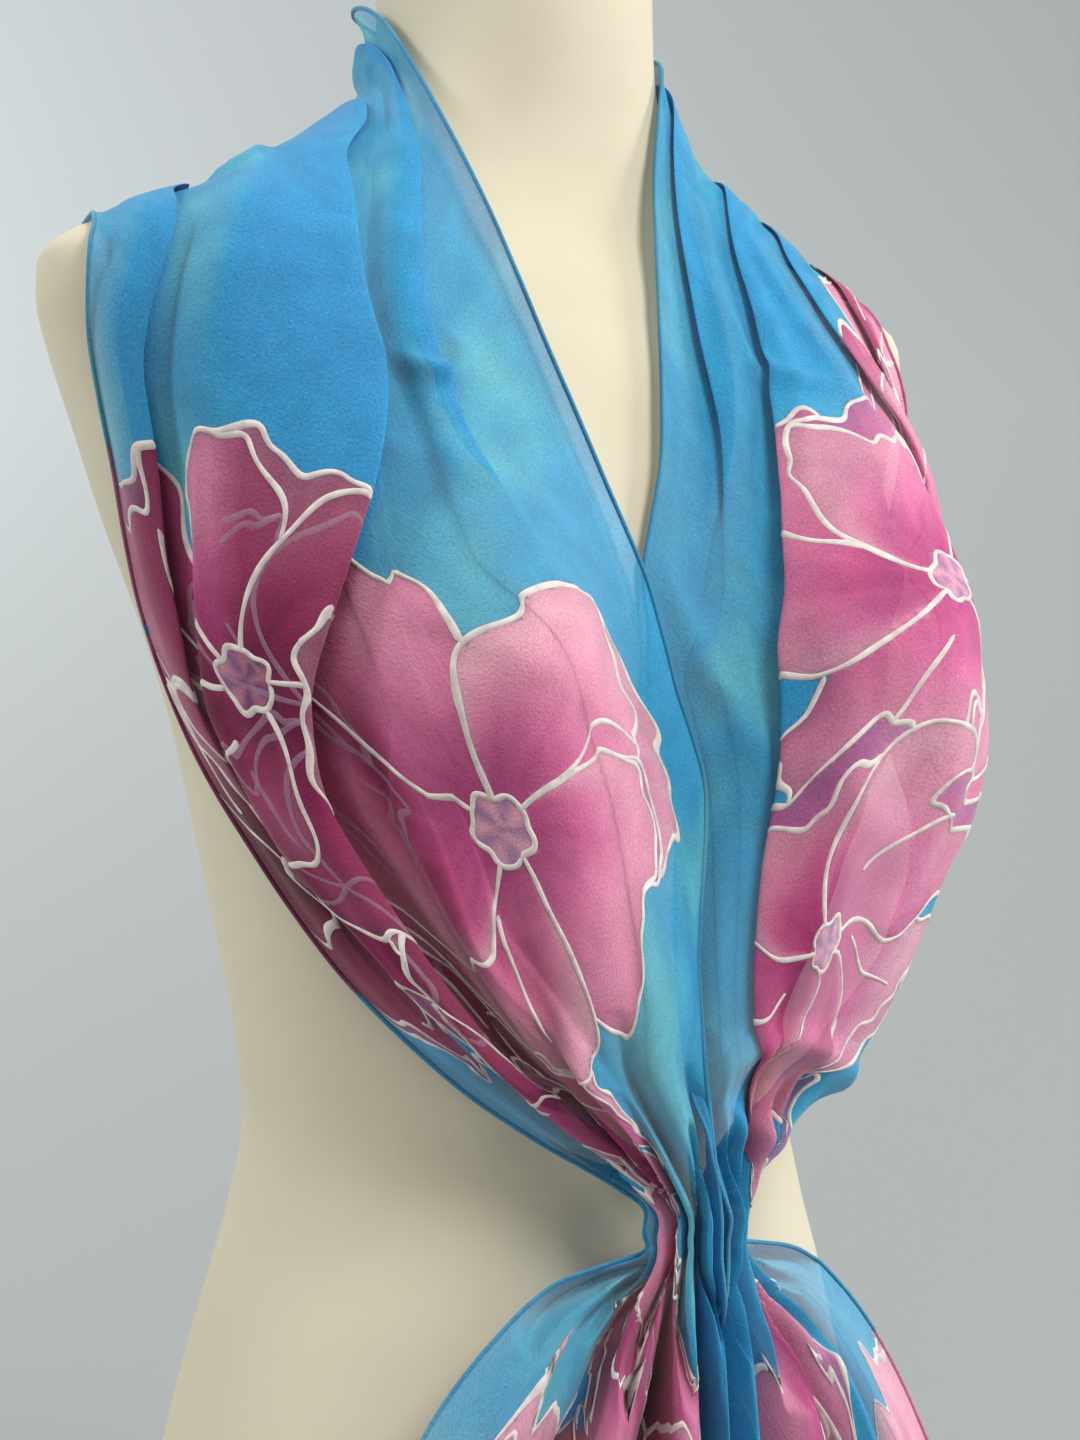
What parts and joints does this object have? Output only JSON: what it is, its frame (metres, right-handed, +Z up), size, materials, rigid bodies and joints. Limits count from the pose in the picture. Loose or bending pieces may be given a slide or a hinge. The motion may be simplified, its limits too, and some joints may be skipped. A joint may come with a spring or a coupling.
{
  "type": "chiffon scarf on a dress form",
  "caption": "Painted chiffon scarf worn round the neck of a limbless dress form, drawn in to a gather in front of the waist.",
  "frame": {"origin": "middle of the flat base of the dress form", "axes": "+Z up, -Y the way the form faces, +X towards the form's left hand side"},
  "size_m": [0.416, 0.2871, 0.9],
  "materials": {
    "form_jersey": "cream jersey over a padded form",
    "chiffon": "sheer matt crepe chiffon, painted",
    "chiffon_flowered": "sheer matt crepe chiffon, painted with flowers"
  },
  "bodies": {
    "root": {"dress_form": "form_jersey", "scarf_front_right": "chiffon", "scarf_front_left": "chiffon", "scarf_neck_back": "chiffon", "scarf_gather": "chiffon", "scarf_tail_right": "chiffon_flowered", "scarf_tail_left": "chiffon_flowered"}
  },
  "joints": []
}
